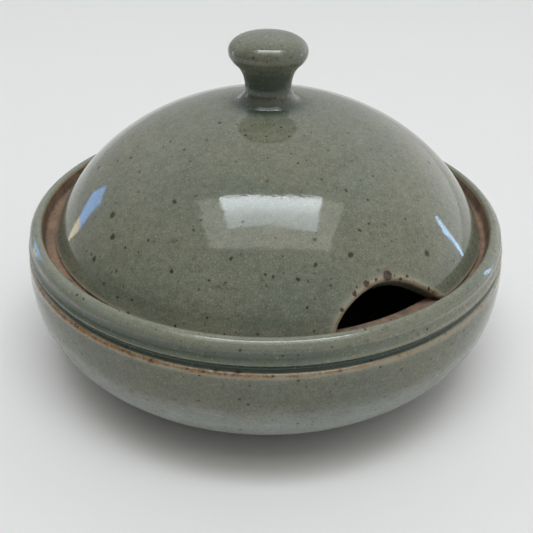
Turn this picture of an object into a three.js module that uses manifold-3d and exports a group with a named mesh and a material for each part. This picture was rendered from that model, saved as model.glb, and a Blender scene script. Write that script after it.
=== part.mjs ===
// A thrown stoneware butter crock: a low round dish with a sunken ledge for its lid, a domed lid with
// a notch for a knife or spoon, and a turned knob on the lid. Millimetres, +Z up, -Y is the front.
// The origin is on the surface the dish stands on, at the centre of its foot ring.
import * as THREE from 'three';
import { mergeVertices } from 'three/addons/utils/BufferGeometryUtils.js';
import Module from 'manifold-3d';

// Driving dimensions. Radii are measured from the dish's axis, heights from the foot.
const AROUND = 64; // flat sides round each turned piece
const GAP = 0.3; // clearance left between pieces that rest on each other

const FOOT_OUTER_R = 44.5;
const FOOT_INNER_R = 38.5;
const FOOT_RECESS = 3.0; // the base inside the foot ring is turned up by this much
const FOOT_CHAMFER = 1.5;

const BELLY_R = 75.6; // widest radius of the dish
const BELLY_Z = 30.0; // height of that widest radius
const BELLY_TURN_R = 45.0; // centre radius of the quarter ellipse under the widest radius
const BELLY_DROP = 28.6; // that ellipse's upright half axis
const BELLY_START_DEG = -88; // where the ellipse leaves the foot

const RIDGE_R = 75.3; // sharp ridge under the groove
const RIDGE_Z = 38.0;
const GROOVE_R = 73.7;
const GROOVE_Z = 39.0;
const COLLAR_R = 74.9; // lower lip of the collar above the groove
const COLLAR_Z = 41.0;
const RIM_Z = 47.0; // top of the dish
const RIM_TOP_R = 72.0;
const RIM_INNER_R = 70.5;

const LEDGE_Z = 42.3; // ledge that the lid rests on
const LEDGE_OUTER_R = 69.6;
const LEDGE_INNER_R = 64.0;
const INSIDE_R = 68.6; // widest inside radius of the dish
const INSIDE_Z = 31.0;
const INSIDE_TURN_R = 40.0; // where the inside wall meets the flat floor
const INSIDE_FLOOR_Z = 8.0;

const DOME_CENTRE_Z = 25.3; // both faces of the lid are parts of flattened spheres about this height
const DOME_R = 70.9;
const DOME_RISE = 56.7;
const DOME_WALL_R = 66.2;
const DOME_WALL_RISE = 51.9;
const LID_FOOT_Z = LEDGE_Z + GAP;
const LID_EDGE_ROUND = 1.4;
const KNOB_LAND_R = 12.4; // flat on top of the dome that the knob is stuck to

const NOTCH_AZIMUTH_DEG = 29.8; // from the front, towards +X
const NOTCH_TILT_DEG = 28.5; // the notch is cut square to the dome's slope
// The arch of the notch: how far across it and how far up the dome's face, from foot to foot.
const NOTCH_ARCH = [[-18.8, -2], [-15.9, 4.5], [-9.8, 9.6], [-1.6, 12.1], [6.5, 10], [16.4, 3.3], [21.5, -1.5]];
const NOTCH_CUTTER_LENGTH = 44;
const NOTCH_SIDES = 28;

const KNOB_NECK_R = 7.05;
const KNOB_NECK_Z = 86.8;
const KNOB_HEAD_R = 11.6;
const KNOB_HEAD_Z = 97.0;
const KNOB_TOP_Z = 102.0;

const GLAZE = { color: 0x73776a, roughness: 0.12, metalness: 0.0 };

const wasm = await Module();
wasm.setup();

// The height of a flattened sphere about DOME_CENTRE_Z at a given radius.
function domeHeight(radius, sphereR, rise) {
  return DOME_CENTRE_Z + rise * Math.sqrt(1 - (radius / sphereR) ** 2);
}

// The radius of that flattened sphere at a given height.
function domeRadius(height, sphereR, rise) {
  return sphereR * Math.sqrt(1 - ((height - DOME_CENTRE_Z) / rise) ** 2);
}

// The angle on that flattened sphere, up from level, at a given height.
function domeAngle(height, rise) {
  return Math.asin((height - DOME_CENTRE_Z) / rise);
}

// Points of a path of radius and height, without doubled ones.
function outline(path, divisions) {
  const points = path.getPoints(divisions);
  return points.filter((point, i) => i === 0 || point.distanceTo(points[i - 1]) > 0.01);
}

// Turns an outline that starts and ends on the axis into a solid about +Z.
function turned(points) {
  const geometry = new THREE.LatheGeometry(points, AROUND);
  geometry.rotateX(Math.PI / 2);
  return geometry;
}

function asSolid(geometry) {
  const bare = geometry.clone();
  bare.deleteAttribute('normal');
  bare.deleteAttribute('uv');
  const merged = mergeVertices(bare, 1e-4);
  const triVerts = new Uint32Array(merged.index.array);
  const vertProperties = new Float32Array(merged.attributes.position.array);
  return new wasm.Manifold(new wasm.Mesh({ numProp: 3, vertProperties, triVerts }));
}

function asGeometry(solid) {
  const mesh = solid.getMesh();
  const geometry = new THREE.BufferGeometry();
  geometry.setAttribute('position', new THREE.BufferAttribute(new Float32Array(mesh.vertProperties), 3));
  geometry.setIndex(new THREE.BufferAttribute(new Uint32Array(mesh.triVerts), 1));
  geometry.computeVertexNormals();
  return geometry;
}

function named(name, geometry, look) {
  const mesh = new THREE.Mesh(geometry, new THREE.MeshStandardMaterial(look));
  mesh.name = name;
  return mesh;
}

// The dish, from the middle of its underside, round the outside and rim, and down to its floor.
function dish() {
  const degrees = THREE.MathUtils.degToRad;
  const path = new THREE.Path();
  path.moveTo(0, FOOT_RECESS);
  path.lineTo(FOOT_INNER_R - FOOT_CHAMFER, FOOT_RECESS);
  path.lineTo(FOOT_INNER_R, 0);
  path.lineTo(FOOT_OUTER_R, 0);
  const bellyReach = BELLY_R - BELLY_TURN_R;
  path.absellipse(BELLY_TURN_R, BELLY_Z, bellyReach, BELLY_DROP, degrees(BELLY_START_DEG), 0, false, 0);
  path.quadraticCurveTo(BELLY_R, (BELLY_Z + RIDGE_Z) / 2, RIDGE_R, RIDGE_Z);
  path.lineTo(GROOVE_R, GROOVE_Z - 0.2);
  path.lineTo(GROOVE_R, GROOVE_Z + 0.6);
  path.lineTo(COLLAR_R - 0.4, COLLAR_Z - 0.7);
  path.lineTo(COLLAR_R, COLLAR_Z);
  path.lineTo(COLLAR_R - 0.6, RIM_Z - 2.2);
  path.quadraticCurveTo(COLLAR_R - 1.0, RIM_Z, RIM_TOP_R, RIM_Z);
  path.quadraticCurveTo(RIM_INNER_R, RIM_Z, RIM_INNER_R - 0.2, RIM_Z - 1.0);
  path.lineTo(LEDGE_OUTER_R, LEDGE_Z);
  path.lineTo(LEDGE_INNER_R + 0.5, LEDGE_Z);
  path.lineTo(LEDGE_INNER_R, LEDGE_Z - 0.8);
  path.quadraticCurveTo(INSIDE_R, (LEDGE_Z + INSIDE_Z) / 2, INSIDE_R, INSIDE_Z);
  const insideReach = INSIDE_R - INSIDE_TURN_R;
  const insideDrop = INSIDE_Z - INSIDE_FLOOR_Z;
  path.absellipse(INSIDE_TURN_R, INSIDE_Z, insideReach, insideDrop, 0, -Math.PI / 2, true, 0);
  path.lineTo(0, INSIDE_FLOOR_Z);
  return turned(outline(path, 4));
}

// The arched cutter for the notch, centred on the lid's lower edge and square to the dome's face.
function notchCutter() {
  const points = NOTCH_ARCH.map(([across, up]) => new THREE.Vector2(across, up));
  const arch = new THREE.Shape();
  arch.moveTo(points[0].x, points[0].y);
  arch.splineThru(points.slice(1));
  const options = { depth: NOTCH_CUTTER_LENGTH, steps: 1, bevelEnabled: false, curveSegments: NOTCH_SIDES };
  const geometry = new THREE.ExtrudeGeometry(arch, options);
  geometry.translate(0, 0, -NOTCH_CUTTER_LENGTH / 2);
  geometry.rotateX(Math.PI / 2 - THREE.MathUtils.degToRad(NOTCH_TILT_DEG));
  geometry.translate(0, -domeRadius(LID_FOOT_Z, DOME_R, DOME_RISE), LID_FOOT_Z);
  geometry.rotateZ(THREE.MathUtils.degToRad(NOTCH_AZIMUTH_DEG));
  return geometry;
}

// The domed lid: a shell open underneath, from its inside top, round its lower edge, to its top.
function lidDome() {
  const landZ = domeHeight(KNOB_LAND_R, DOME_R, DOME_RISE);
  const insideEdge = domeAngle(LID_FOOT_Z, DOME_WALL_RISE);
  const outsideEdge = domeAngle(LID_FOOT_Z + LID_EDGE_ROUND, DOME_RISE);
  const outsideTop = domeAngle(landZ, DOME_RISE);
  const footR = domeRadius(LID_FOOT_Z, DOME_R, DOME_RISE);
  const path = new THREE.Path();
  path.moveTo(0, DOME_CENTRE_Z + DOME_WALL_RISE);
  path.absellipse(0, DOME_CENTRE_Z, DOME_WALL_R, DOME_WALL_RISE, Math.PI / 2, insideEdge, true, 0);
  path.lineTo(footR - LID_EDGE_ROUND, LID_FOOT_Z);
  path.absellipse(0, DOME_CENTRE_Z, DOME_R, DOME_RISE, outsideEdge, outsideTop, false, 0);
  path.lineTo(0, landZ);
  const shell = asSolid(turned(outline(path, 7)));
  return asGeometry(shell.subtract(asSolid(notchCutter())));
}

// The knob: a flared foot, a narrow neck and a flattened round head.
function lidKnob() {
  const footZ = domeHeight(KNOB_LAND_R, DOME_R, DOME_RISE) + GAP;
  const path = new THREE.Path();
  path.moveTo(0, footZ);
  path.lineTo(KNOB_LAND_R, footZ);
  path.bezierCurveTo(9.0, footZ + 0.6, KNOB_NECK_R, footZ + 2.2, KNOB_NECK_R, KNOB_NECK_Z);
  path.bezierCurveTo(KNOB_NECK_R, KNOB_NECK_Z + 6.4, KNOB_HEAD_R, KNOB_HEAD_Z - 4.0, KNOB_HEAD_R, KNOB_HEAD_Z);
  path.absellipse(0, KNOB_HEAD_Z, KNOB_HEAD_R, KNOB_TOP_Z - KNOB_HEAD_Z, 0, Math.PI / 2, false, 0);
  return turned(outline(path, 4));
}

const crock = new THREE.Group();
crock.add(named('dish', dish(), GLAZE));
crock.add(named('lid_dome', lidDome(), GLAZE));
crock.add(named('lid_knob', lidKnob(), GLAZE));

export default crock;
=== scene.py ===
"""Looks of the butter crock: a thrown stoneware dish and its domed lid in a speckled grey-green glaze."""
import math

import bpy
import numpy as np
from mathutils import Matrix, Vector


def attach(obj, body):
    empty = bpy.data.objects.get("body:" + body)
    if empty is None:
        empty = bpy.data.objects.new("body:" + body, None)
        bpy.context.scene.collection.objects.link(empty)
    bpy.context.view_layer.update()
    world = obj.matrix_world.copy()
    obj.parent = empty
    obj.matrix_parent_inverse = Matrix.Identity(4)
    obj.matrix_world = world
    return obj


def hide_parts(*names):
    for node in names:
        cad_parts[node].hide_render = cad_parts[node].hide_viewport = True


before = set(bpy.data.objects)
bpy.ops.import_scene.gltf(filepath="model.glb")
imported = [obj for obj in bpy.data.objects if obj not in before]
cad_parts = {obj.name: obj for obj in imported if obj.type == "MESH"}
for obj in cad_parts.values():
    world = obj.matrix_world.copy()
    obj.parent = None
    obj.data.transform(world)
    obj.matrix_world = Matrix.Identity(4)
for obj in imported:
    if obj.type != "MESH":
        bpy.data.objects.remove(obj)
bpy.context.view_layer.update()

MM = 0.001

# The camera, in millimetres over the surface that the crock stands on.
CAMERA_PLACE = (0.0, -229.2, 167.6)
CAMERA_TARGET = (0.33, 0.0, 23.0)
CAMERA_ROLL_DEG = 0.575
LENS_MM = 54.034
SENSOR_MM = 36.0

# The lid's two faces are parts of flattened spheres about one height.
DOME_CENTRE_Z = 25.3
DOME_R = 70.9
DOME_RISE = 56.7
DOME_WALL_R = 66.2
DOME_WALL_RISE = 51.9
LID_FOOT_Z = 42.4
KNOB_STEM_Z = 84.0

# How near the axis the faces' rows of points begin: outside, hidden by the knob, and inside.
OUTSIDE_TOP_R = 4.0
INSIDE_TOP_R = 2.0

# The notch: an arch cut square to the dome's slope, by how far across it and how far up the face.
NOTCH_AZIMUTH = math.radians(29.8)
NOTCH_TILT = math.radians(28.5)
NOTCH_ARCH = [(21.3, -1.5), (16.2, 3.1), (6.5, 9.8), (-1.6, 11.8), (-9.7, 9.4), (-15.7, 4.4), (-18.5, -2)]

# On the lid's inner face the arch has this share of its width, about this middle, and of its height.
NOTCH_MIDDLE = 4.0
NOTCH_INNER_SHARE = (0.94, 0.84)

# The lid's wall is rounded off at its lower edge, outside and inside, and more over the notch outside.
OUTER_LIP = 1.0
OVER_NOTCH_LIP = 0.3
INNER_LIP = 0.8

# Where the dome's glaze lies thick: inside a radius by the knob, and about a height over the foot.
KNOB_GLAZE_R = 12.6
KNOB_GLAZE_FADE = 4.0
POOLED_Z = 47.5
POOLED_REACH = 3.5

# How finely the lid is divided: columns over the notch and round the back, rows on each face.
ARCH_COLUMNS = 110
BACK_COLUMNS = 310
OUTSIDE_ROWS = 120
INSIDE_ROWS = 70
EDGE_SOFTENINGS = 4

# The loose lid lies a little to the right in its seat, and less so for each millimetre higher up.
LID_FOOT_SHIFT = 0.65
LID_LEAN = 0.0077

# The dish's belly and its inside are quarter ellipses.
BELLY_R = 75.6
BELLY_Z = 30.0
BELLY_TURN_R = 45.0
BELLY_DROP = 28.6
INSIDE_R = 68.6
INSIDE_Z = 31.0
INSIDE_TURN_R = 40.0
INSIDE_FLOOR_Z = 8.0

# Where the dish's bands of glaze lie: heights, and the radius that they lie outside.
COLLAR_Z = (41.4, 44.8)
RIDGE_Z = (35.0, 38.5)
BANDS_R = 73.0
RIM_Z = 45.8
RIM_R = 70.4

# Where the collar's glaze is palest, round from the right.
COLLAR_PALE_ANGLE = math.radians(-30)

# The heights between which the belly gets paler and less glossy, going down: partly paler glaze, partly
# painted reflection of the lit table in front.
PALED_FROM = 30.0
PALED_TO = 18.0

# What is marked on the points: thin or thick glaze, bare clay and, on the dish only, a paler low belly that
# is partly painted reflection. The thick mark is also painted shade in the lid notch's throat.
MARKS = ("thin", "thick", "bare", "paled_and_painted_sheen")
THIN, THICK_AND_SHADE, BARE = range(3)


# ---------------------------------------------------------------- meshes

def spline(before, start, end, after, t):
    """The place at a fraction t from start to end on a smooth curve that takes in before and after."""
    square = 2 * before - 5 * start + 4 * end - after
    cube = 3 * start - before - 3 * end + after
    return 0.5 * (2 * start + (end - before) * t + square * t * t + cube * t ** 3)


def curve_through(points, step):
    """Points about `step` mm apart on a smooth curve through the given (r, z, thin, thick, bare) points."""
    keys = np.array(points, float)
    ends = np.vstack([2 * keys[0] - keys[1], keys, 2 * keys[-1] - keys[-2]])
    out = []
    for i in range(1, len(ends) - 2):
        before, start, end, after = ends[i - 1:i + 3]
        length = np.hypot(*(end - start)[:2])
        count = max(2, int(math.ceil(length / step)))
        for t in np.arange(count) / count:
            smooth = spline(before, start, end, after, t)
            straight = start + (end - start) * t
            out.append(np.concatenate([smooth[:2], straight[2:]]))
    out.append(keys[-1])
    return np.array(out)


def quarter(turn_r, centre_z, reach, drop, start_deg, end_deg, count):
    """Points on a quarter ellipse of a profile, with no glaze marks."""
    angles = np.radians(np.linspace(start_deg, end_deg, count))
    return [(turn_r + reach * math.cos(a), centre_z + drop * math.sin(a), 0, 0, 0) for a in angles]


def mesh_object(name, verts, faces, marks):
    """A smooth mesh, in metres, with its glaze marks on its points: the first of MARKS, in their order."""
    mesh = bpy.data.meshes.new(name)
    mesh.from_pydata((verts * MM).tolist(), [], faces)
    mesh.update()
    for key, values in zip(MARKS, marks.T):
        layer = mesh.attributes.new(key, "FLOAT", "POINT")
        layer.data.foreach_set("value", np.ascontiguousarray(values, np.float32))
    mesh.polygons.foreach_set("use_smooth", [True] * len(mesh.polygons))
    obj = bpy.data.objects.new(name, mesh)
    bpy.context.scene.collection.objects.link(obj)
    return obj


def grid_faces(rows, columns):
    """Quads of a closed band of rows round the axis."""
    faces = []
    for i in range(rows - 1):
        for j in range(columns):
            k = (j + 1) % columns
            faces.append((i * columns + j, i * columns + k, (i + 1) * columns + k, (i + 1) * columns + j))
    return faces


def capped(rings, marks):
    """Verts, faces and marks of stacked rings of points, each end closed by a fan to its middle."""
    rows, columns = rings.shape[:2]
    verts = rings.reshape(-1, 3)
    faces = grid_faces(rows, columns)
    first = verts[:columns].mean(0)
    last = verts[-columns:].mean(0)
    verts = np.vstack([verts, first, last])
    low = rows * columns
    high = low + 1
    for j in range(columns):
        k = (j + 1) % columns
        faces.append((low, k, j))
        faces.append((high, low - columns + j, low - columns + k))
    marks = np.vstack([marks.reshape(-1, 3), marks[0].mean(0), marks[-1].mean(0)])
    return verts, faces, marks


def thrown(along, angle, size):
    """The small unevenness of a hand-thrown wall, by how far along its profile and the angle round it."""
    return size * (0.5403 * np.cos(2 * angle + 0.7) + 0.5 * np.cos(3 * angle + 2.1 + 0.02 * along))


def turned(profile, columns, uneven):
    """Verts, faces and marks turned from a profile that runs from under the middle round to the top.

    The unevenness fades out towards the axis.
    """
    angle = np.arange(columns) * 2 * math.pi / columns
    r = profile[:, :1]
    z = profile[:, 1:2]
    radial = r + thrown(z, angle[None, :], uneven) * np.clip(r / 20, 0, 1)
    rings = np.stack([radial * np.cos(angle), radial * np.sin(angle), np.broadcast_to(z, radial.shape)], -1)
    marks = np.repeat(profile[:, None, 2:5], columns, 1)
    return capped(rings, marks)


def leaned(points):
    """Points of the lid moved to where it lies in its seat."""
    moved = np.array(points, float)
    moved[..., 0] += LID_FOOT_SHIFT - LID_LEAN * (moved[..., 2] - LID_FOOT_Z)
    return moved


# ---------------------------------------------------------------- the dish

def dish_profile():
    """The dish's (r, z, thin, thick, bare) points: up the outside, over the rim and down to its floor."""
    foot = [(2, 3.3, 0, 0, 1), (30, 3.2, 0, 0, 1), (36, 3.0, 0, 0, 1), (38.0, 2.3, 0, 0, 1),
            (38.7, 1.0, 0, 0, 1), (39.3, 0.25, 0, 0, 1), (40.4, 0.0, 0, 0, 1), (42.9, 0.0, 0, 0, 1),
            (44.0, 0.3, 0, 0, 1), (44.8, 1.0, 0, 0, 0.3), (46.0, 1.42, 0, 0, 0)]
    reach = BELLY_R - BELLY_TURN_R
    belly = quarter(BELLY_TURN_R, BELLY_Z, reach, BELLY_DROP, -86, -2, 60)
    ridge = [(75.7, 31.5, 0, 0, 0), (75.68, 33.5, 0, 0, 0), (75.55, 35.2, 0.05, 0, 0),
             (75.45, 36.3, 0.25, 0, 0), (75.4, 36.9, 0.6, 0, 0), (75.3, 37.5, 1, 0, 0),
             (75.1, 37.95, 1.15, 0, 0), (74.75, 38.25, 1, 0, 0), (74.35, 38.45, 0.4, 0.4, 0)]
    groove = [(74.0, 38.65, 0, 0.9, 0), (73.8, 38.95, 0, 1, 0), (73.75, 39.4, 0, 1, 0),
              (74.0, 39.9, 0, 0.9, 0), (74.45, 40.35, 0, 0.6, 0), (74.8, 40.75, 0.25, 0.3, 0)]
    collar = [(74.95, 41.1, 0.5, 0.1, 0), (74.8, 41.5, 0.2, 0.3, 0), (74.5, 42.0, 0, 0.55, 0),
              (74.2, 42.6, 0, 0.7, 0), (74.05, 43.2, 0, 0.75, 0), (74.05, 43.8, 0, 0.6, 0),
              (74.15, 44.4, 0.1, 0.25, 0), (74.1, 44.9, 0.3, 0.1, 0)]
    rim = [(73.85, 45.4, 0.35, 0, 0), (73.3, 46.1, 0.3, 0, 0), (72.5, 46.7, 0.35, 0, 0),
           (71.9, 46.93, 0.35, 0, 0), (71.3, 47.0, 0.35, 0, 0), (70.8, 46.85, 0.35, 0, 0),
           (70.5, 46.45, 0.6, 0, 0), (70.35, 46.0, 1, 0, 0.6), (70.25, 45.5, 0, 0, 1)]
    ledge = [(70.1, 44.5, 0, 0, 1), (69.9, 43.3, 0, 0, 1), (69.6, 42.65, 0.2, 0, 1),
             (69.0, 42.35, 0.45, 0, 1), (67.0, 42.3, 0.35, 0, 1), (64.5, 42.27, 0.1, 0, 1),
             (63.95, 42.2, 0, 0, 1), (63.6, 42.0, 0, 0, 1), (63.45, 41.6, 1, 0, 0.8)]
    under_ledge = [(63.6, 40.9, 0.5, 0, 0), (64.5, 39.0, 0, 0.3, 0), (66.4, 36.0, 0, 0.2, 0),
                   (68.0, 33.3, 0, 0, 0)]
    shoulder = ridge + groove + collar + rim + ledge + under_ledge
    inside_reach = INSIDE_R - INSIDE_TURN_R
    inside = quarter(INSIDE_TURN_R, INSIDE_Z, inside_reach, INSIDE_Z - INSIDE_FLOOR_Z, 0, -88, 50)
    floor = [(34, 7.9, 0, 0.2, 0), (20, 7.8, 0, 0.2, 0), (10, 7.9, 0, 0.2, 0), (2, 8.0, 0, 0.2, 0)]
    upper = curve_through(shoulder, 0.22)
    return np.vstack([curve_through(foot, 0.8), belly, upper, inside, curve_through(floor, 2.0)])


def inside_radius(height):
    """The radius of the dish's inside at a height; lower than its floor, that of the floor's flat middle."""
    sine = np.clip((INSIDE_Z - height) / (INSIDE_Z - INSIDE_FLOOR_Z), 0, 1)
    return INSIDE_TURN_R + (INSIDE_R - INSIDE_TURN_R) * np.sqrt(1 - sine ** 2)


def make_dish():
    """The dish, with glaze that differs round it: a paler collar at the right, with less rust below it."""
    verts, faces, marks = turned(dish_profile(), 320, 0.12)
    x, y, z = verts.T
    radius = np.hypot(x, y)
    toward_pale = np.clip(np.cos(np.arctan2(y, x) - COLLAR_PALE_ANGLE), 0, 1) ** 2
    rim_painted_shade_right = np.clip(x / BELLY_R, 0, 1)
    outside = radius > BANDS_R
    collar = outside & (z > COLLAR_Z[0]) & (z < COLLAR_Z[1])
    ridge = outside & (z > RIDGE_Z[0]) & (z < RIDGE_Z[1])
    rim = (radius > RIM_R) & (z > RIM_Z)
    marks[:, THICK_AND_SHADE] *= 1 - 0.85 * toward_pale * collar
    marks[:, THIN] += 0.5 * toward_pale * collar
    marks[:, THIN] *= 1 - 0.35 * toward_pale * ridge
    # Painted shade: less pale glaze on the rim's top towards the right.
    marks[:, THIN] *= 1 - 0.8 * rim_painted_shade_right * rim
    belly = radius > inside_radius(z) + 2
    # Paler lower belly: partly paler glaze, partly painted reflection of the lit table in front.
    paled_and_painted_sheen = np.clip((PALED_FROM - z) / (PALED_FROM - PALED_TO), 0, 1) * belly
    return mesh_object("dish_pot", verts, faces, np.column_stack([marks, paled_and_painted_sheen]))


# ---------------------------------------------------------------- the lid's dome

def on_dome(angle, rise_angle, sphere_r, rise):
    """Points of a flattened sphere by angle round the axis and angle up from level."""
    across = sphere_r * np.cos(rise_angle)
    height = DOME_CENTRE_Z + rise * np.sin(rise_angle)
    return np.stack([across * np.sin(angle), -across * np.cos(angle), height], -1)


def dome_angles(points, sphere_r, rise):
    """The inverse: angle round from the front, and angle up from level."""
    angle = np.arctan2(points[..., 0], -points[..., 1])
    across = np.hypot(points[..., 0], points[..., 1]) / sphere_r
    up = (points[..., 2] - DOME_CENTRE_Z) / rise
    return angle, np.arctan2(up, across)


def dome_normal(points, sphere_r, rise):
    """Which way a flattened sphere faces at points on it."""
    centre = np.array([0, 0, DOME_CENTRE_Z])
    normal = (points - centre) / np.array([sphere_r ** 2, sphere_r ** 2, rise ** 2])
    return normal / np.linalg.norm(normal, axis=-1, keepdims=True)


def along_spline(points, t):
    """Places on a smooth curve through points, for fractions t of the way along it."""
    keys = np.array(points, float)
    keys = np.vstack([keys[0], keys, keys[-1]])
    reach = t * (len(points) - 1)
    step = np.clip(reach.astype(int), 0, len(points) - 2)
    f = (reach - step)[:, None]
    return spline(keys[step], keys[step + 1], keys[step + 2], keys[step + 3], f)


def notch_line(t, sphere_r, rise):
    """Where the notch leaves a flattened sphere, for fractions t of its arch from the right foot.

    The notch is a little smaller on the lid's inner face.
    """
    along = np.array([math.cos(NOTCH_AZIMUTH), math.sin(NOTCH_AZIMUTH), 0])
    outward = np.array([math.sin(NOTCH_AZIMUTH) * math.cos(NOTCH_TILT),
                        -math.cos(NOTCH_AZIMUTH) * math.cos(NOTCH_TILT), math.sin(NOTCH_TILT)])
    upward = np.cross(along, -outward)
    foot_angle = math.asin((LID_FOOT_Z - DOME_CENTRE_Z) / DOME_RISE)
    origin = on_dome(np.array(NOTCH_AZIMUTH), np.array(foot_angle), DOME_R, DOME_RISE)
    arch = along_spline(NOTCH_ARCH, t)
    if sphere_r < DOME_R:
        arch[:, 0] = NOTCH_MIDDLE + (arch[:, 0] - NOTCH_MIDDLE) * NOTCH_INNER_SHARE[0]
        arch[:, 1] *= NOTCH_INNER_SHARE[1]
    start = origin + arch[:, :1] * along + arch[:, 1:] * upward
    scale = np.array([1, 1, sphere_r / rise])
    p = (start - np.array([0, 0, DOME_CENTRE_Z])) * scale
    d = outward * scale
    a = d @ d
    b = 2 * p @ d
    c = (p * p).sum(1) - sphere_r ** 2
    reach = (-b + np.sqrt(b * b - 4 * a * c)) / (2 * a)
    return start + reach[:, None] * outward


def eased(count, ease):
    """Fractions from 0 to 1, closer together at both ends."""
    t = np.arange(count) / count
    return t - ease * np.sin(2 * math.pi * t) / (2 * math.pi)


def rounded(points, rounds, sphere_r, rise):
    """Softens the corners of a closed line on a flattened sphere."""
    for _ in range(rounds):
        points = 0.25 * np.roll(points, 1, 0) + 0.5 * points + 0.25 * np.roll(points, -1, 0)
        angle, up = dome_angles(points, sphere_r, rise)
        points = on_dome(angle, up, sphere_r, rise)
    return points


def lid_edge(sphere_r, rise):
    """The closed line of the lid's lower edge on one face: over the notch and round the back."""
    whole = np.linspace(0, 1, 4001)
    above = np.flatnonzero(notch_line(whole, sphere_r, rise)[:, 2] >= LID_FOOT_Z)
    arch = notch_line(np.linspace(whole[above[0]], whole[above[-1]], ARCH_COLUMNS), sphere_r, rise)
    angle, _ = dome_angles(arch, sphere_r, rise)
    span = 2 * math.pi - (angle[0] - angle[-1])
    back = angle[-1] - span * eased(BACK_COLUMNS, 0.6)[1:]
    foot_angle = math.asin((LID_FOOT_Z - DOME_CENTRE_Z) / rise)
    level = on_dome(back, np.full(len(back), foot_angle), sphere_r, rise)
    return rounded(np.vstack([arch, level]), EDGE_SOFTENINGS, sphere_r, rise)


def edge_offset(edge, distance, sphere_r, rise):
    """The edge line moved back into the lid's wall along its face, and which way that is."""
    ahead = np.roll(edge, -1, 0) - np.roll(edge, 1, 0)
    normal = dome_normal(edge, sphere_r, rise)
    inward = np.cross(ahead, normal)
    inward /= np.linalg.norm(inward, axis=1, keepdims=True)
    moved = edge + inward * distance
    angle, up = dome_angles(moved, sphere_r, rise)
    return on_dome(angle, up, sphere_r, rise), inward


def face_rows(edge, sphere_r, rise, top_angle, rows, top_turn):
    """Rows of points on one face of the dome, from near the top down to the edge line, as angles.

    The columns are even round the top, from top_turn on, and meet the edge line's own points at its foot.
    """
    edge_angle, edge_up = dome_angles(edge, sphere_r, rise)
    edge_angle = np.unwrap(edge_angle)
    columns = len(edge)
    even = top_turn - np.arange(columns) * 2 * math.pi / columns
    t = np.linspace(0, 1, rows)[:, None]
    ease = t * t * (3 - 2 * t)
    angle = even + (edge_angle - even) * ease
    up = top_angle + (edge_up - top_angle) * t
    return angle, up


# Blisters on the lid's glaze, then its largest iron specks. Each has its angle round from the front in
# degrees, and its height and radius in millimetres.
CRATERS = [(30.9, 53.7, 1.3), (34.3, 51.9, 0.6), (24.5, 53.3, 0.85), (21.0, 51.8, 0.6),
           (17.2, 48.8, 0.55), (42.0, 47.1, 0.5), (27.3, 53.6, 0.4), (36.4, 52.1, 0.4)]
BIG_SPECKS = [(-51.4, 61.1, 1.15), (-46.4, 57.5, 0.9), (-32.5, 68.1, 0.75), (-49.4, 50.9, 0.8),
              (45.6, 54.5, 1.05), (22.5, 59.7, 0.75), (-46.4, 79.9, 0.6), (-67.3, 70.3, 0.7),
              (-79, 63.9, 0.8), (7.4, 56.4, 0.6), (-24.5, 55.7, 0.6), (1.4, 57.0, 0.5),
              (-9.6, 60.1, 0.5), (12.4, 58.8, 0.6), (29.4, 70.7, 0.5), (27.5, 63.7, 0.6),
              (12.4, 71.9, 0.6)]


def dome_point(azimuth_deg, height):
    """The point of the dome's outside at an angle round from the front and a height."""
    up = math.asin((height - DOME_CENTRE_Z) / DOME_RISE)
    return on_dome(np.array(math.radians(azimuth_deg)), np.array(up), DOME_R, DOME_RISE)


def outside_face(angle, up):
    """The dome's outside: faint throwing rings, a slow unevenness and the hollows of the blisters."""
    outside = on_dome(angle, up, DOME_R, DOME_RISE)
    normal = dome_normal(outside, DOME_R, DOME_RISE)
    fade = np.clip((1 - np.linspace(0, 1, OUTSIDE_ROWS)) * 8, 0, 1)[:, None]
    rings = 0.006 * np.sin(up * DOME_R * 2 * math.pi / 7.5 + 0.6 * np.sin(angle))
    slow = thrown(up * DOME_R, angle, 0.05)
    outside = outside + normal * ((rings + slow) * fade)[..., None]
    for azimuth_deg, height, radius in CRATERS:
        centre = dome_point(azimuth_deg, height)
        near = np.linalg.norm(outside - centre, axis=-1) / (1.1 * radius)
        pit = np.clip(1 - near ** 2, 0, 1) ** 2
        outside -= normal * (0.32 * radius * pit)[..., None]
    return outside


def lip_rows(outer_edge, inner_edge, outer_in, inner_in, outer_lip):
    """Rows of points round the wall's lower edge, from its outer face to its inner one."""
    across = inner_edge - outer_edge
    across /= np.linalg.norm(across, axis=1, keepdims=True)
    rows = []
    for a in np.radians(np.linspace(0, 90, 9))[1:]:
        turn = across * (1 - math.cos(a)) + outer_in * (1 - math.sin(a))
        rows.append(outer_edge + outer_lip * turn)
    for f in (0.33, 0.67):
        first = outer_edge + across * outer_lip
        last = inner_edge - across * INNER_LIP
        rows.append(first + (last - first) * f)
    for a in np.radians(np.linspace(90, 0, 7))[:-1]:
        turn = inner_in * (1 - math.sin(a)) - across * (1 - math.cos(a))
        rows.append(inner_edge + INNER_LIP * turn)
    return np.array(rows)


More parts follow.
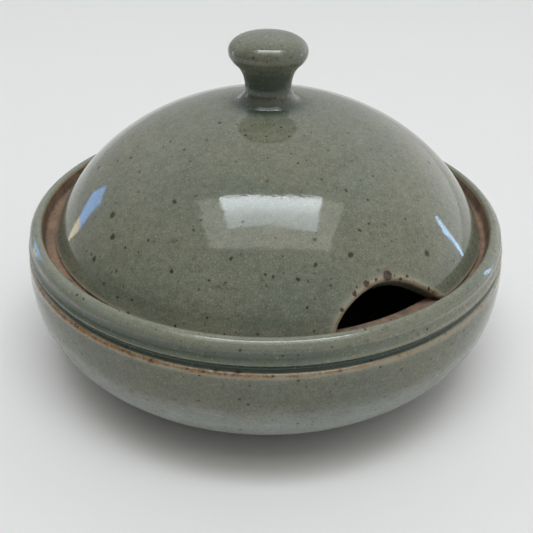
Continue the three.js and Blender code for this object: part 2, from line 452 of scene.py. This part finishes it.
def make_dome():
    """The lid's hollow dome, with the notch in its lower edge and its foot a little flared."""
    outer_edge = lid_edge(DOME_R, DOME_RISE)
    inner_edge = lid_edge(DOME_WALL_R, DOME_WALL_RISE)
    outer_lip = OUTER_LIP + OVER_NOTCH_LIP * np.clip((outer_edge[:, 2:] - LID_FOOT_Z) / 2.0, 0, 1)
    outer_end, outer_in = edge_offset(outer_edge, outer_lip, DOME_R, DOME_RISE)
    inner_end, inner_in = edge_offset(inner_edge, INNER_LIP, DOME_WALL_R, DOME_WALL_RISE)
    start_turn = dome_angles(outer_edge[:1], DOME_R, DOME_RISE)[0][0] + 0.45

    top = math.acos(OUTSIDE_TOP_R / DOME_R)
    outside = outside_face(*face_rows(outer_end, DOME_R, DOME_RISE, top, OUTSIDE_ROWS, start_turn))
    lip = lip_rows(outer_edge, inner_edge, outer_in, inner_in, outer_lip)
    top = math.acos(INSIDE_TOP_R / DOME_WALL_R)
    angle, up = face_rows(inner_end, DOME_WALL_R, DOME_WALL_RISE, top, INSIDE_ROWS, start_turn)
    inside = on_dome(angle, up, DOME_WALL_R, DOME_WALL_RISE)[::-1]

    rings = np.concatenate([outside, lip, inside])
    marks = dome_marks(rings, outer_edge, len(lip))
    flared = np.clip(1 - (rings[..., 2:] - LID_FOOT_Z) / 4.0, 0, 1) ** 2
    rings[..., :2] *= 1 + 0.006 * flared
    verts, faces, marks = capped(rings[::-1], marks[::-1])
    return mesh_object("lid_cover", leaned(verts), faces, marks)


def dome_marks(rings, outer_edge, lip_count):
    """Glaze marks of the dome: thin along its lower edge and the notch, bare on its foot.

    The glaze is thick by the knob, and a little thick where it pooled over the lid's foot. In the notch's
    throat, a recess where shade falls, the thick mark and a weaker thin mark are painted shade.
    """
    marks = np.zeros(rings.shape)
    outside = slice(0, OUTSIDE_ROWS)
    lip = slice(OUTSIDE_ROWS, OUTSIDE_ROWS + lip_count)
    throat = slice(OUTSIDE_ROWS + 5, OUTSIDE_ROWS + lip_count)
    over_notch = outer_edge[:, 2] > LID_FOOT_Z + 0.8
    z = rings[..., 2]
    over_foot = z[outside] - LID_FOOT_Z
    marks[outside, :, BARE] = 0.9 * np.clip(1 - (over_foot - 0.15) / 0.6, 0, 1)
    marks[outside, :, THIN] = np.clip(1 - (over_foot - 0.6) / 1.3, 0, 1)
    to_notch = notch_distance(rings)
    marks[..., THIN] = np.maximum(marks[..., THIN], np.clip(1.25 - to_notch / 2.4, 0, 1) * 0.87)
    marks[lip, :, BARE] = np.where(over_notch, 0.1, 1.0)
    # Painted shade: the notch's throat is painted deep green and less pale, for the shade in that recess.
    marks[throat, :, THIN] *= 0.3
    marks[throat, :, THICK_AND_SHADE] = np.where(over_notch, 0.45, 0)
    from_axis = np.hypot(rings[..., 0], rings[..., 1])
    marks[outside, :, THICK_AND_SHADE] = np.clip((KNOB_GLAZE_R - from_axis[outside]) / KNOB_GLAZE_FADE, 0, 1)
    pooled = 0.12 * np.clip(1 - abs(z - POOLED_Z) / POOLED_REACH, 0, 1) * np.clip(to_notch / 8 - 0.4, 0, 1)
    marks[outside, :, THICK_AND_SHADE] += pooled[outside]
    return marks


def notch_distance(points):
    """How far points are from the notch's edge on the outside, in millimetres."""
    line = notch_line(np.linspace(0.05, 0.95, 60), DOME_R, DOME_RISE)
    flat = points.reshape(-1, 3)
    best = np.full(len(flat), 1e9)
    for p in line:
        best = np.minimum(best, ((flat - p) ** 2).sum(1))
    return np.sqrt(best).reshape(points.shape[:-1])


# ---------------------------------------------------------------- the knob

def make_knob():
    """The knob, turned from (r, z, thin, thick, bare) points: its underside, its stem and its head."""
    under = [(1, 80.1, 0, 1, 0), (8, 80.2, 0, 1, 0), (12.0, 80.9, 0, 0.4, 0)]
    stem = [(12.0, 80.95, 0, 0.15, 0), (11.0, 81.27, 0, 0.4, 0), (10.1, 81.55, 0, 0.75, 0),
            (9.3, 81.95, 0, 1, 0), (8.6, 82.6, 0, 0.7, 0), (7.95, 83.4, 0, 0.4, 0),
            (7.4, 84.3, 0, 0.2, 0), (7.08, 85.2, 0, 0.35, 0), (7.0, 86.3, 0, 0.7, 0),
            (7.05, 87.5, 0, 0.8, 0), (7.2, 88.6, 0, 0.8, 0), (7.45, 89.6, 0, 0.8, 0),
            (7.85, 90.7, 0, 0.75, 0), (8.4, 91.7, 0, 0.6, 0), (9.1, 92.6, 0, 0.3, 0),
            (9.8, 93.35, 0, 0.25, 0), (10.45, 94.0, 0, 0.25, 0), (11.0, 94.7, 0, 0.25, 0),
            (11.35, 95.3, 0, 0.35, 0)]
    head = [(11.35, 95.3, 0, 0.35, 0), (11.6, 95.95, 0, 0.15, 0), (11.7, 96.7, 0, 0.1, 0),
            (11.67, 97.5, 0, 0.1, 0), (11.42, 98.3, 0, 0, 0), (10.98, 99.0, 0, 0, 0),
            (10.38, 99.65, 0, 0, 0), (9.62, 100.22, 0, 0, 0), (8.65, 100.73, 0, 0, 0),
            (7.5, 101.15, 0, 0, 0), (6.0, 101.5, 0, 0, 0), (4.3, 101.76, 0, 0, 0),
            (2.4, 101.9, 0, 0, 0), (0.6, 101.93, 0, 0, 0)]
    profile = np.vstack([curve_through(under, 2.0), curve_through(stem, 0.4)[:-1], curve_through(head, 0.35)])
    verts, faces, marks = turned(profile, 160, 0.05)
    return mesh_object("lid_knob_turned", leaned(verts), faces, marks)


# ---------------------------------------------------------------- node helpers

class Tree:
    """Short calls for adding nodes to one material or world."""

    def __init__(self, tree):
        self.tree = tree

    def feed(self, socket, value):
        if isinstance(value, bpy.types.NodeSocket):
            self.tree.links.new(value, socket)
        elif isinstance(value, (tuple, list)) and len(value) == 3 and socket.type == "RGBA":
            socket.default_value = (*value, 1.0)
        else:
            socket.default_value = value

    def add(self, kind, feeds=None, **props):
        node = self.tree.nodes.new(kind)
        for key, value in props.items():
            setattr(node, key, value)
        for key, value in (feeds or {}).items():
            self.feed(node.inputs[key], value)
        return node

    def math(self, operation, a, b=0.0, clamp=False):
        return self.add("ShaderNodeMath", {0: a, 1: b}, operation=operation, use_clamp=clamp).outputs[0]

    def vector(self, operation, a, b):
        """Sums with vectors. SCALE takes a number as its second, and DISTANCE gives a number."""
        feeds = {0: a, "Scale" if operation == "SCALE" else 1: b}
        node = self.add("ShaderNodeVectorMath", feeds, operation=operation)
        return node.outputs["Value" if operation == "DISTANCE" else "Vector"]

    def span(self, value, low, high, out_low=0.0, out_high=1.0, kind="SMOOTHSTEP"):
        """A value carried from one range to another, and held at its ends."""
        feeds = {"Value": value, "From Min": low, "From Max": high, "To Min": out_low, "To Max": out_high}
        return self.add("ShaderNodeMapRange", feeds, interpolation_type=kind).outputs["Result"]

    def mix(self, factor, a, b):
        """A colour between a and b. The Mix node keeps its colours in inputs 6 and 7 and output 2."""
        node = self.tree.nodes.new("ShaderNodeMix")
        node.data_type = "RGBA"
        self.feed(node.inputs[0], factor)
        self.feed(node.inputs[6], a)
        self.feed(node.inputs[7], b)
        return node.outputs[2]

    def noise(self, vector, size, detail=2.0, roughness=0.5):
        """Soft noise with patches of about a size in mm."""
        feeds = {"Vector": vector, "Scale": 1.0 / size, "Detail": detail, "Roughness": roughness}
        return self.add("ShaderNodeTexNoise", feeds).outputs["Fac"]

    def mark(self, name):
        """One of the MARKS on the mesh's points."""
        return self.add("ShaderNodeAttribute", attribute_name=name, attribute_type="GEOMETRY").outputs["Fac"]


def millimetres(tree):
    """Object coordinates in millimetres."""
    place = tree.add("ShaderNodeTexCoord").outputs["Object"]
    return tree.vector("MULTIPLY", place, (1000, 1000, 1000))


def wavered(tree, place, size, amount, shift):
    """Coordinates moved about a little, so that round specks come out uneven.

    The shift gives each layer of specks its own pattern.
    """
    moved = tree.vector("ADD", place, (shift, shift * 1.7, -shift))
    feeds = {"Vector": moved, "Scale": 1.0 / size, "Detail": 2.0}
    colour = tree.add("ShaderNodeTexNoise", feeds).outputs["Color"]
    centred = tree.vector("SUBTRACT", colour, (0.5, 0.5, 0.5))
    return tree.vector("ADD", moved, tree.vector("SCALE", centred, amount))


def specks(tree, place, cell, smallest, largest, share, softness=0.35):
    """Mask of specks between two radii in mm, one in a share of the cells of that size."""
    node = tree.add("ShaderNodeTexVoronoi", {"Vector": place, "Scale": 1.0 / cell}, feature="F1")
    parts = tree.add("ShaderNodeSeparateColor", {0: node.outputs["Color"]})
    radius = tree.span(parts.outputs[1], 0, 1, smallest / cell, largest / cell, "LINEAR")
    inner = tree.math("MULTIPLY", radius, 1 - softness)
    mask = tree.span(node.outputs["Distance"], inner, radius, 1.0, 0.0)
    shown = tree.math("LESS_THAN", parts.outputs[0], share)
    return tree.math("MULTIPLY", mask, shown)


def single_speck(tree, place, centre, radius, softness=0.4):
    """Mask of one speck about a place on the lid, with a radius in mm."""
    distance = tree.vector("DISTANCE", place, tuple(centre))
    return tree.span(distance, radius * (1 - softness), radius * (1 + softness * 0.4), 1.0, 0.0)


def joined(tree, masks):
    """The greatest of several masks, point by point."""
    total = masks[0]
    for mask in masks[1:]:
        total = tree.math("MAXIMUM", total, mask)
    return total


# ---------------------------------------------------------------- the glaze

OLIVE = (0.157, 0.160, 0.111)
GREEN = (0.114, 0.139, 0.110)
DEEP_GREEN = (0.055, 0.080, 0.061)
PALE_GREEN = (0.255, 0.272, 0.213)
THIN_BUFF = (0.34, 0.285, 0.195)
RUST = (0.27, 0.138, 0.048)
DARK_RUST = (0.065, 0.032, 0.018)
IRON = (0.037, 0.027, 0.012)
BROWN_SPECK = (0.082, 0.064, 0.022)
PALE_FLECK = (0.40, 0.40, 0.33)
CLAY = (0.255, 0.165, 0.113)
CLAY_DARK = (0.120, 0.085, 0.065)
# Grey for the low belly: partly the glaze, partly painted reflection of the lit table.
LOW_GREY_AND_PAINTED_SHEEN = (0.383, 0.416, 0.400)
BLISTER = (0.050, 0.050, 0.052)

# Painted shading on the lid's glaze: how much lighter it is painted at its foot, and how much darker at its
# knob.
LID_PAINTED_SHADING = {"foot_painted_light": 1.1, "knob_painted_light": 0.94}


def glaze_colour(tree, place, paled_and_painted_sheen=None):
    """The glaze over the whole pot, before its specks.

    It is olive, green in places and deep green where thick; the deep green in the lid notch's throat is
    painted shade. Where it is thin it breaks to buff and rust. Low on the dish's belly it is greyer: partly
    paler glaze, partly painted reflection of the lit table.
    """
    broad = tree.noise(place, 34.0, 3.0, 0.55)
    thick = tree.mark("thick")
    thin = tree.mark("thin")
    greener = tree.span(broad, 0.42, 0.68)
    body = tree.mix(tree.math("MULTIPLY", greener, 0.4), OLIVE, GREEN)
    # Greyer low on the belly: partly paler glaze, partly painted reflection of the lit table.
    if paled_and_painted_sheen:
        body = tree.mix(tree.math("MULTIPLY", paled_and_painted_sheen, 0.62), body, LOW_GREY_AND_PAINTED_SHEEN)
    clouds = tree.noise(place, 6.0, 4.0, 0.6)
    mottle = tree.noise(place, 1.6, 2.0, 0.6)
    grain = tree.noise(place, 0.42, 2.0, 0.6)
    stretched = tree.vector("MULTIPLY", place, (0.05, 0.05, 1.0))
    throwing = tree.noise(stretched, 1.6, 2.0, 0.5)
    light = tree.span(clouds, 0.3, 0.7, 0.92, 1.08, "LINEAR")
    light = tree.math("ADD", light, tree.span(mottle, 0.3, 0.7, -0.13, 0.13, "LINEAR"))
    light = tree.math("ADD", light, tree.span(grain, 0.3, 0.7, -0.25, 0.25, "LINEAR"))
    light = tree.math("ADD", light, tree.span(throwing, 0.3, 0.7, -0.045, 0.045, "LINEAR"))
    body = tree.vector("SCALE", body, light)
    body = tree.mix(tree.span(thin, 0.0, 1.0, 0.0, 0.8, "LINEAR"), body, PALE_GREEN)
    body = tree.mix(thick, body, DEEP_GREEN)
    ragged = tree.noise(place, 1.5, 3.0, 0.65)
    breaking = tree.span(tree.math("ADD", thin, tree.math("MULTIPLY", ragged, 0.8)), 0.75, 1.2)
    buff = tree.mix(tree.math("MULTIPLY", breaking, 0.75), body, THIN_BUFF)
    patchy = tree.noise(place, 4.5, 2.0, 0.5)
    rust_grain = tree.noise(place, 0.75, 3.0, 0.65)
    uneven = tree.math("ADD", tree.math("MULTIPLY", patchy, 0.8), rust_grain)
    rusty = tree.span(tree.math("ADD", thin, uneven), 1.6, 2.1)
    rust = tree.mix(tree.span(tree.noise(place, 1.1, 2.0, 0.6), 0.45, 0.7), RUST, DARK_RUST)
    return tree.mix(rusty, buff, rust)


def clay_colour(tree, place):
    """The bare fired clay of the ledge, the lid's foot and the foot ring."""
    coarse = tree.noise(place, 4.0, 4.0, 0.65)
    fine = tree.noise(place, 0.8, 3.0, 0.7)
    tone = tree.mix(tree.span(coarse, 0.38, 0.62), CLAY, CLAY_DARK)
    rusty = tree.math("ADD", fine, tree.math("MULTIPLY", tree.mark("thin"), 0.3))
    return tree.mix(tree.span(rusty, 0.5, 0.85, 0.0, 0.85), tone, RUST)


def scattered_specks(tree, place, colour):
    """Pale flecks and iron specks of three sizes over a colour, then the masks of the two larger sizes."""
    pale = specks(tree, wavered(tree, place, 0.8, 0.3, 97.0), 0.9, 0.14, 0.3, 0.55)
    colour = tree.mix(tree.math("MULTIPLY", pale, 0.28), colour, PALE_FLECK)
    pepper = specks(tree, wavered(tree, place, 0.8, 0.35, 41.0), 0.95, 0.1, 0.26, 0.5)
    colour = tree.mix(tree.math("MULTIPLY", pepper, 0.7), colour, BROWN_SPECK)
    medium_place = wavered(tree, place, 1.2, 0.55, 311.0)
    halo = specks(tree, medium_place, 2.1, 0.45, 0.85, 0.33, 0.9)
    colour = tree.mix(tree.math("MULTIPLY", halo, 0.75), colour, BROWN_SPECK)
    medium = specks(tree, medium_place, 2.1, 0.2, 0.42, 0.33)
    colour = tree.mix(medium, colour, IRON)
    large_place = wavered(tree, place, 1.6, 0.8, -173.0)
    large_halo = specks(tree, large_place, 6.0, 0.8, 1.5, 0.3, 0.8)
    colour = tree.mix(tree.math("MULTIPLY", large_halo, 0.7), colour, BROWN_SPECK)
    large = specks(tree, large_place, 6.0, 0.4, 0.8, 0.3)
    return tree.mix(large, colour, IRON), medium, large


def placed_specks(tree, place, colour, singles):
    """The lid's largest specks over a colour, and their masks."""
    masks = []
    for azimuth_deg, height, radius in singles:
        centre = leaned(dome_point(azimuth_deg, height))
        outer = single_speck(tree, place, centre, radius * 1.25, 0.7)
        colour = tree.mix(tree.math("MULTIPLY", outer, 0.65), colour, BROWN_SPECK)
        core = single_speck(tree, place, centre, radius * 0.95)
        colour = tree.mix(core, colour, IRON)
        masks.append(core)
    return colour, masks


def placed_craters(tree, place, colour, craters):
    """The lid's blisters over a colour: a rusty stain, a dark ring and a grey hollow each."""
    for azimuth_deg, height, radius in craters:
        centre = leaned(dome_point(azimuth_deg, height))
        stain = single_speck(tree, place, centre, radius * 1.5, 0.5)
        colour = tree.mix(tree.math("MULTIPLY", stain, 0.55), colour, RUST)
        ring = single_speck(tree, place, centre, radius * 1.15, 0.3)
        colour = tree.mix(ring, colour, DARK_RUST)
        hollow = single_speck(tree, place, centre, radius * 0.62, 0.3)
        colour = tree.mix(hollow, colour, BLISTER)
    return colour


def bump_height(tree, place, ragged, bare, rough):
    """The fine relief in mm: slow ripples, a fine skin, lumps where thin, sunken specks and gritty clay."""
    ripple = tree.noise(place, 14.0, 2.0, 0.5)
    orange_peel = tree.noise(place, 1.1, 2.0, 0.5)
    grit = tree.noise(place, 0.5, 3.0, 0.7)
    lumps = tree.math("MULTIPLY", tree.math("MULTIPLY", ragged, tree.mark("thin")), 0.12)
    height = tree.math("MULTIPLY", ripple, 0.035)
    height = tree.math("ADD", height, tree.math("MULTIPLY", orange_peel, 0.012))
    height = tree.math("ADD", height, lumps)
    height = tree.math("SUBTRACT", height, tree.math("MULTIPLY", rough, 0.02))
    return tree.math("ADD", height, tree.math("MULTIPLY", tree.math("MULTIPLY", grit, bare), 0.3))


def glaze_material(name, craters=(), singles=(), low_paled_and_painted_sheen=False, foot_painted_light=1.0, knob_painted_light=1.0):
    """Glossy speckled glaze that breaks to buff and rust where thin, over bare clay where it was wiped off.

    With low_paled_and_painted_sheen it is paler and less glossy where its piece has the mark
    paled_and_painted_sheen: partly paler glaze, partly painted reflection of the lit table. From the lid's
    foot up to its knob its colour is scaled from foot_painted_light to knob_painted_light, as painted
    shading.
    """
    material = bpy.data.materials.new(name)
    material.use_nodes = True
    shader = material.node_tree.nodes["Principled BSDF"]
    tree = Tree(material.node_tree)
    place = millimetres(tree)
    wander = wavered(tree, place, 1.1, 1.1, 0.0)

    paled_and_painted_sheen = None
    if low_paled_and_painted_sheen:
        waver = tree.span(tree.noise(place, 16.0, 1.0, 0.5), 0.3, 0.7, -0.1, 0.1, "LINEAR")
        paled_and_painted_sheen = tree.span(tree.math("ADD", tree.mark("paled_and_painted_sheen"), waver), 0.05, 1.05)
    colour = glaze_colour(tree, place, paled_and_painted_sheen)
    # Painted shading: the lid's colour is lighter at its foot and darker up at its knob.
    if foot_painted_light != knob_painted_light:
        up = tree.add("ShaderNodeSeparateXYZ", {0: place}).outputs[2]
        colour = tree.vector("SCALE", colour, tree.span(up, LID_FOOT_Z, KNOB_STEM_Z, foot_painted_light, knob_painted_light))
    colour, medium, large = scattered_specks(tree, place, colour)
    colour, placed = placed_specks(tree, wander, colour, singles)
    colour = placed_craters(tree, wander, colour, craters)
    rough_masks = [tree.math("MULTIPLY", medium, 0.6), tree.math("MULTIPLY", large, 0.8)]
    rough_masks += [tree.math("MULTIPLY", core, 0.6) for core in placed]
    rough = joined(tree, rough_masks)

    ragged = tree.noise(place, 1.1, 3.0, 0.6)
    waver = tree.math("MULTIPLY", tree.math("SUBTRACT", ragged, 0.5), 0.7)
    bare = tree.span(tree.math("ADD", tree.mark("bare"), waver), 0.42, 0.58)
    edge = tree.math("MULTIPLY", tree.math("MULTIPLY", bare, tree.math("SUBTRACT", 1.0, bare)), 4.0)
    clay = tree.mix(tree.math("MULTIPLY", medium, 0.9), clay_colour(tree, place), IRON)
    colour = tree.mix(bare, colour, clay)
    colour = tree.mix(tree.math("MULTIPLY", edge, 0.7), colour, RUST)
    tree.feed(shader.inputs["Base Color"], colour)

    gloss = tree.span(tree.noise(place, 3.0, 2.0), 0.3, 0.7, 0.05, 0.085, "LINEAR")
    roughness = tree.math("ADD", gloss, tree.math("MULTIPLY", rough, 0.3))
    if low_paled_and_painted_sheen:
        roughness = tree.math("ADD", roughness, tree.math("MULTIPLY", paled_and_painted_sheen, 0.4))
    clayey = tree.math("MULTIPLY", bare, 0.55)
    tree.feed(shader.inputs["Roughness"], tree.math("ADD", roughness, clayey, True))
    shader.inputs["IOR"].default_value = 1.52

    height = bump_height(tree, place, ragged, bare, rough)
    bump = tree.add("ShaderNodeBump", {"Height": height, "Strength": 1.0, "Distance": MM})
    tree.feed(shader.inputs["Normal"], bump.outputs["Normal"])
    return material


# ---------------------------------------------------------------- stage, lights and camera

def make_floor():
    """The pale table that the crock stands on."""
    mesh = bpy.data.meshes.new("floor")
    half = 0.9
    corners = [(-half, -half, 0), (half, -half, 0), (half, half, 0), (-half, half, 0)]
    mesh.from_pydata(corners, [], [(0, 1, 2, 3)])
    floor = bpy.data.objects.new("floor", mesh)
    bpy.context.scene.collection.objects.link(floor)
    material = bpy.data.materials.new("pale_table")
    material.use_nodes = True
    shader = material.node_tree.nodes["Principled BSDF"]
    shader.inputs["Base Color"].default_value = (0.738, 0.722, 0.705, 1)
    shader.inputs["Roughness"].default_value = 0.9
    shader.inputs["Specular IOR Level"].default_value = 0.05
    mesh.materials.append(material)


def panel(name, corners, colour, strength=1.0, lights_room=True):
    """A glowing panel that isn't part of the object; one that doesn't light the room is only reflected."""
    mesh = bpy.data.meshes.new(name)
    mesh.from_pydata([tuple(c) for c in corners], [], [tuple(range(len(corners)))])
    glow = bpy.data.objects.new(name, mesh)
    bpy.context.scene.collection.objects.link(glow)
    material = bpy.data.materials.new(name)
    material.use_nodes = True
    material.node_tree.nodes.clear()
    tree = Tree(material.node_tree)
    emission = tree.add("ShaderNodeEmission", {"Color": colour, "Strength": strength})
    out = tree.add("ShaderNodeOutputMaterial")
    tree.tree.links.new(emission.outputs[0], out.inputs[0])
    mesh.materials.append(material)
    glow.visible_camera = False
    glow.visible_diffuse = lights_room
    return tree, emission


# The skylight's height in metres, and one factor for the strength of all the lights.
SKY_HEIGHT = 2.06
BRIGHTNESS = 1.17


def make_skylight():
    """A skylight almost overhead, its long edges bowed and its far side brighter, in a dimmer reveal."""
    far = [(0.77, 0.13), (0.4, 0.06), (0.05, 0.035), (-0.3, 0.05), (-0.66, 0.10)]
    near = [(-0.61, -0.58), (-0.3, -0.54), (0.05, -0.52), (0.4, -0.555), (0.77, -0.60)]
    corners = [(x, y, SKY_HEIGHT) for x, y in far + near]
    tree, emission = panel("skylight", corners, (0.875, 0.945, 1.0))
    place = tree.add("ShaderNodeTexCoord").outputs["Object"]
    y = tree.add("ShaderNodeSeparateXYZ", {0: place}).outputs[1]
    tree.feed(emission.inputs["Strength"], tree.span(y, -0.5, 0.07, 4.6 * BRIGHTNESS, 10.2 * BRIGHTNESS))
    around = [(-1.03, -1.0), (0.05, -1.07), (1.15, -1.0), (1.15, 0.17), (0.6, 0.06), (0.05, 0.02),
              (-0.5, 0.05), (-1.03, 0.16)]
    reveal = [(x, y, SKY_HEIGHT + 0.02) for x, y in around]
    panel("skylight_reveal", reveal, (1.0, 0.98, 0.92), 1.9 * BRIGHTNESS)


def small(corners):
    """Corners in millimetres turned to metres."""
    return [tuple(c * MM for c in corner) for corner in corners]


def make_windows():
    """Small bright shapes low on both sides, which the dome reflects; in millimetres."""
    blue = [(-273, 175, 105), (-270, 159, 146), (-293, 123, 143), (-314, 120, 61), (-296, 152, 65)]
    cream = [(-296, 152, 64), (-314, 120, 60), (-302, 140, 2), (-299, 146, 2)]
    streak = [(306, 97, 145), (305, 104, 138), (320, 97, 91), (319, 109, 3), (322, 102, 7), (322, 80, 112)]
    panel("window_left", small(blue), (0.28, 0.52, 1.0), 3.4 * BRIGHTNESS, False)
    panel("window_left_sill", small(cream), (1.0, 0.90, 0.66), 2.6 * BRIGHTNESS, False)
    panel("window_right", small(streak), (0.45, 0.70, 1.0), 7.5 * BRIGHTNESS, False)


def make_world():
    """The room's own soft light: a ceiling, a brighter back and a brighter right side."""
    world = bpy.data.worlds.new("room")
    bpy.context.scene.world = world
    world.use_nodes = True
    world.node_tree.nodes.clear()
    tree = Tree(world.node_tree)
    toward = tree.add("ShaderNodeTexCoord").outputs["Generated"]
    parts = tree.add("ShaderNodeSeparateXYZ", {0: toward})
    ceiling = tree.span(parts.outputs[2], 0.15, 0.8, 0.05, 0.32)
    back = tree.span(parts.outputs[1], -0.2, 0.6, 0.0, 0.41)
    right = tree.span(parts.outputs[0], 0.1, 0.8, 0.0, 0.60)
    right = tree.math("MULTIPLY", right, tree.span(parts.outputs[2], 0.05, 0.55, 1.0, 0.3))
    walls = tree.math("ADD", tree.math("ADD", back, right), ceiling)
    strength = tree.math("MULTIPLY", walls, BRIGHTNESS)
    background = tree.add("ShaderNodeBackground", {"Color": (0.97, 0.98, 1.0), "Strength": strength})
    out = tree.add("ShaderNodeOutputWorld")
    tree.tree.links.new(background.outputs[0], out.inputs[0])


def make_camera():
    """The photo's view."""
    camera_data = bpy.data.cameras.new("camera")
    camera_data.sensor_width = SENSOR_MM
    camera_data.lens = LENS_MM
    camera_data.clip_start = 0.01
    camera = bpy.data.objects.new("camera", camera_data)
    bpy.context.scene.collection.objects.link(camera)
    place = Vector(CAMERA_PLACE) * MM
    toward = Vector(CAMERA_TARGET) * MM - place
    turn = toward.to_track_quat("-Z", "Y").to_matrix().to_4x4()
    roll = Matrix.Rotation(math.radians(CAMERA_ROLL_DEG), 4, "Z")
    camera.matrix_world = Matrix.Translation(place) @ turn @ roll
    bpy.context.scene.camera = camera


# ---------------------------------------------------------------- the whole

def place_piece(piece, material, body, node):
    """Gives a piece its material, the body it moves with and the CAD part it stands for."""
    piece.data.materials.append(material)
    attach(piece, body)
    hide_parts(node)


make_camera()
bpy.context.scene.view_settings.view_transform = "Standard"
place_piece(make_dish(), glaze_material("dish_glaze", low_paled_and_painted_sheen=True), "dish", "dish")
lid_glaze = glaze_material("lid_glaze", CRATERS, BIG_SPECKS, **LID_PAINTED_SHADING)
place_piece(make_dome(), lid_glaze, "lid", "lid_dome")
place_piece(make_knob(), glaze_material("knob_glaze", **LID_PAINTED_SHADING), "lid", "lid_knob")
make_floor()
make_skylight()
make_windows()
make_world()
